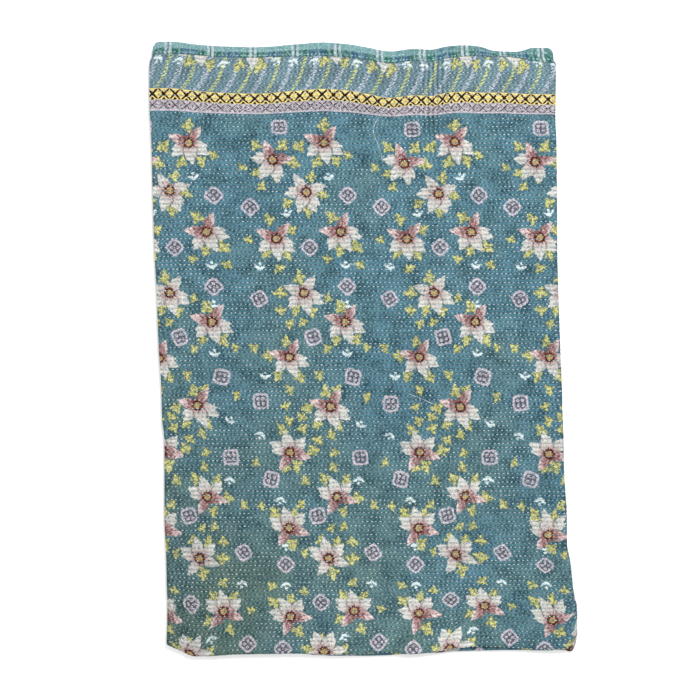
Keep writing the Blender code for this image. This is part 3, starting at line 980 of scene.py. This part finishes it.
UPPER_GAP = 0.2 * MM
UNDER_GAP = 0.5 * MM
BINDING_TURN = (THICKNESS / 2 + (UPPER_GAP + UNDER_GAP) / 2 + BINDING_WALL / 2) * math.pi / 2
BINDING_OVERHANG = 0.6 * MM
BINDING_ROUND = 0.8 * MM
SEAM_FROM_EDGE = 3 * MM
SEAM_PITCH = 7 * MM
SEAM_STITCHES = 107


def on_binding(across, girth, out):
    """Girth is 0 round the end, more on the upper face and less on the other."""
    gap = blend(UPPER_GAP, UNDER_GAP, ease(-girth / (4 * MM)))
    radius = THICKNESS / 2 + gap + BINDING_WALL / 2 + out
    past = np.abs(girth) - BINDING_TURN
    turn = girth / BINDING_TURN * math.pi / 2
    along = np.where(past < 0, -radius * np.cos(turn), past)
    off = np.where(past < 0, radius * np.sin(turn), np.sign(girth) * radius)
    along = along * np.where(past < 0, 1, binding_width(across) / BINDING_WIDTH)
    return placed(across, along, off)


def binding_relief(across, girth):
    """The thin cloth is drawn in at each of its stitches."""
    past = np.abs(girth) - BINDING_TURN
    edge = BINDING_WIDTH - past
    seam = np.exp(-((edge - SEAM_FROM_EDGE) / (1.6 * MM)) ** 2)
    gather = 0.5 + 0.5 * np.cos(2 * math.pi * across / SEAM_PITCH)
    ripple = 0.28 * MM * soft_noise(across, girth, 9 * MM, 12)
    return ease(edge / (4 * MM)) * (ripple + 0.15 * MM) - 0.3 * MM * seam * (0.4 + 0.6 * gather)


def lay_binding():
    """The folded strip, fine where it shows."""
    edge = [0, 0.4, 1.2, 2.2, 3.2, 4.4, 6.5, 9.5, 13, 17]
    walls = [BINDING_TURN + BINDING_WIDTH - MM * at for at in edge]
    turn = [BINDING_TURN * share for share in (1, 0.66, 0.33, 0, -0.33, -0.66, -1)]
    rows = walls + turn + [-at for at in walls[::-1]]
    columns = [-0.6, -0.1, 0.7] + spread(3.5, 745, 3.5) + spread(747.5, 776.5, 2.5)
    columns += spread(783.5, 1520.5, 7) + [1523.3, 1524.1, 1524.6]
    mesh = mesh_of(slab([MM * at for at in columns], rows), "check_binding")
    across, girth, face = points_of(mesh).T
    outer = face > 0.5
    from_edge = BINDING_TURN + BINDING_WIDTH - np.abs(girth)
    from_end = BINDING_OVERHANG + np.minimum(across, QUILT_WIDTH - across)
    wall = BINDING_WALL / 2 * rim(np.minimum(from_edge, from_end), BINDING_ROUND)
    rise = np.where(outer & (girth >= 0), binding_relief(across, girth), 0)
    move_points(mesh, on_binding(across, girth, np.where(outer, wall + rise, -wall)))
    across, girth = (at[read(mesh.loops, "vertex_index")] for at in (across, girth))
    add_attribute(mesh, "binding_place", across / MM, girth / MM, np.zeros_like(girth))
    return mesh


def on_binding_seam(across, girth, lift):
    return on_binding(across, girth, BINDING_WALL / 2 + binding_relief(across, girth) + lift)


CHECK_TEAL = dye("5E878A")
CHECK_LIGHT = dye("8BACAE")
CHECK_GREEN = dye("27594F")
CHECK_BLUE = dye("33546D")
CHECK_WHITE = dye("B3BCC2")


def check_cotton():
    """Thin woven check: pairs of white lines over green and blue blocks."""
    recipe = Recipe("check_cotton_weave", **WASHED_COTTON)
    across, girth, _, where = recipe.place("binding_place")
    grain = recipe.noise(where, 0.9, 2, 0.6)
    wobble = recipe.noise(where, 14, 1) - 0.5
    x, y = across + wobble * 3, girth + wobble * 2
    mottle = recipe.noise(where, 3.2, 2, 0.65)
    blotch = recipe.noise(where, 6.5, 2, 0.6)
    colour = recipe.mix((mottle - 0.42) * 4.5, CHECK_TEAL, CHECK_LIGHT)
    between = abs(((x + (x - 600 | 0) * 0.12 + 11.5) % 80.6) - 40.3)
    block = recipe.mix(between.above(25, 3), CHECK_GREEN, CHECK_BLUE)
    darker = y.above(11.2, 3) * 0.9 | (across - 480).above(0, 120) * 0.5
    colour = recipe.mix(darker * (0.9 + (blotch - 0.5) * 4), colour, block)
    colour = recipe.mix(between.below(2.4, 1.5) * 0.5, colour, CHECK_GREEN)
    pair = abs(between - 4.2).below(2.5, 2)
    colour = recipe.mix(pair * (0.68 + (blotch - 0.5) * 5), colour, CHECK_WHITE)
    lines = abs((x % 20.35) - 10.2).below(0.9, 0.8) * 0.3
    colour = recipe.mix(lines, colour, CHECK_WHITE)
    threads = across.waves(0.8) * girth.waves(0.8)
    colour = recipe.shaded(colour, 0.95 + (grain - 0.5) * 2.2 + threads * 0.06)
    return recipe.finish(colour, threads * 0.06 + grain * 0.3 + mottle * 0.5)


THREAD_WORN = dye("86A0A6")


def sewing_thread(name, colour):
    """Soft cotton thread, duller in worn patches, with a fuzzy grain."""
    recipe = Recipe(name, Roughness=0.85, Sheen_Weight=0.05, Specular_IOR_Level=0.2)
    where = recipe.node("ShaderNodeTexCoord", {}, {}, "Object")
    fuzz = recipe.noise(where, 0.9 * MM, 2, 0.6)
    tone_shift = recipe.noise(where, 7 * MM, 2, 0.6) + recipe.noise(where, 60 * MM, 2, 0.6)
    made = recipe.mix((tone_shift - 0.92) * 6, colour, THREAD_WORN)
    made = recipe.shaded(made, 0.7 + fuzz * 0.6)
    return recipe.finish(made, fuzz * 0.2)


# ---- loose ends of thread

THREAD_RADIUS = 0.55 * MM
LONG_END = ((448, 97), (433, 124), (420, 152), (418, 170), (425, 188), (431, 204), (434, 225))
SHORT_END = ((470, 661), (495, 671), (520, 682))


def thread_end(name, stops):
    """A loose end of thread, lying over the cloth; its first stretch comes up out of it."""
    line = bpy.data.curves.new(name, "CURVE")
    line.dimensions = "3D"
    line.bevel_depth = THREAD_RADIUS
    line.bevel_resolution = 2
    line.use_fill_caps = True
    t = np.linspace(0, 1, 34)
    knots = np.linspace(0, 1, len(stops))
    flat = MM * np.stack([np.interp(t, knots, column) for column in zip(*stops)], axis=-1)
    for _ in range(3):
        flat[1:-1] = (flat[:-2] + 2 * flat[1:-1] + flat[2:]) / 4
    lift = THREAD_RADIUS * (1.1 - 2.6 * np.clip(1 - t / 0.06, 0, 1))
    path = on_cloth(flat[:, 0], flat[:, 1], lift)
    spline = line.splines.new("POLY")
    spline.points.add(len(path) - 1)
    for point, at in zip(spline.points, path):
        point.co = (*at, 1)
    return shown_mesh(add_object(name, line))


# ---- putting it together

cotton_thread = sewing_thread("pale_blue_thread", dye("C3D4D8"))
binding_thread = sewing_thread("binding_thread", dye("A9CFC8"))
white_thread = sewing_thread("white_thread", dye("E4EAEA"))

quilt_mesh, flat_places = lay_quilt()
laid = points_of(quilt_mesh)
node_low, node_high = (np.array(corner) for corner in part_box("quilt_cloth"))
shift = (node_low + node_high) / 2 - (laid.min(axis=0) + laid.max(axis=0)) / 2
shift[2] = 0


def laid_piece(name, mesh, material):
    """A finished piece: on the CAD's cloth, smooth, dyed, and riding on the quilt."""
    move_points(mesh, points_of(mesh) + shift)
    mesh.name = name
    mesh.materials.clear()
    mesh.materials.append(material)
    mesh.shade_smooth()
    piece = add_object(name, mesh)
    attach(piece, "root")
    return piece


chart_onto(quilt_mesh, flat_places)
printed_quilt = laid_piece("printed_quilt", quilt_mesh, printed_cotton())
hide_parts("quilt_cloth")
check_binding = laid_piece("check_binding", lay_binding(), check_cotton())
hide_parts("end_binding")

counts = (STITCHES_IN_A_ROW, LAST_ROW - FIRST_ROW + 1)
for name, first, lift, seed in (("top_stitches", FIRST_STITCH, 1, 21),
                                ("underside_stitches", FIRST_UNDER_STITCH, 0.3, 22)):
    stitches = running_stitches((first, FIRST_ROW * ROW_PITCH), counts,
                                (STITCH_PITCH, ROW_PITCH), on_cloth, seed, lift)
    laid_piece(name, stitches, cotton_thread)

seam_girth = BINDING_TURN + BINDING_WIDTH - SEAM_FROM_EDGE
for name, girth, seed in (("binding_stitches", seam_girth, 23),
                          ("binding_inner_stitches", seam_girth - ROW_PITCH, 24)):
    stitches = running_stitches((8 * MM, girth), (SEAM_STITCHES, 1), (SEAM_PITCH, 1),
                                on_binding_seam, seed, 0.7)
    laid_piece(name, stitches, binding_thread)

for name, stops in (("long_thread_end", LONG_END), ("short_thread_end", SHORT_END)):
    laid_piece(name, thread_end(name, stops), white_thread)

# ---- floor, light and camera

PHOTO_SCALE = 1.89 * MM    # one pixel of the photo, on the quilt
PHOTO_SIZE = 700
BOX_MIDDLE_X = 363.4       # the middle and foot of the quilt's box, in pixels
BOX_FOOT_Y = 655.5
SENSOR = 36
LENS = 110
FLOOR_WHITE = (0.97, 0.97, 0.97, 1)


def make_floor():
    bm = bmesh.new()
    bmesh.ops.create_grid(bm, x_segments=1, y_segments=1, size=6)
    bmesh.ops.translate(bm, verts=bm.verts[:], vec=(0, 0, -0.4 * MM))
    mesh = mesh_of(bm, "floor")
    white = Recipe("floor_white", Base_Color=FLOOR_WHITE, Roughness=0.9,
                   Emission_Color=FLOOR_WHITE, Emission_Strength=0.18)
    mesh.materials.append(white.material)
    add_object("floor", mesh)


def make_lamp(name, place, size, power):
    """A round soft light, aimed at the quilt."""
    lamp = bpy.data.lights.new(name, "AREA")
    lamp.shape = "DISK"
    lamp.size = size
    lamp.energy = power
    holder = add_object(name, lamp)
    holder.location = place
    holder.rotation_euler = (-Vector(place)).to_track_quat("-Z", "Y").to_euler()


def make_camera():
    """Straight above, with the quilt where the photo has it."""
    camera = bpy.data.cameras.new("camera")
    camera.sensor_width = SENSOR
    camera.lens = LENS
    holder = add_object("camera", camera)
    holder.location = ((PHOTO_SIZE / 2 - BOX_MIDDLE_X) * PHOTO_SCALE,
                       cad_box[0].y + (BOX_FOOT_Y - PHOTO_SIZE / 2) * PHOTO_SCALE,
                       PHOTO_SIZE * PHOTO_SCALE * LENS / SENSOR)
    bpy.context.scene.camera = holder


def make_sky():
    world = bpy.data.worlds.new("studio")
    world.use_nodes = True
    sky = world.node_tree.nodes["Background"].inputs
    sky["Color"].default_value = (1, 1, 1, 1)
    sky["Strength"].default_value = 0.5
    bpy.context.scene.world = world


make_floor()
make_lamp("window_light", (0.8, 1.6, 2.8), 1.4, 94)
make_lamp("soft_fill", (-1.5, -0.9, 3), 2.5, 34)
make_camera()
make_sky()
bpy.context.scene.view_settings.view_transform = "Standard"
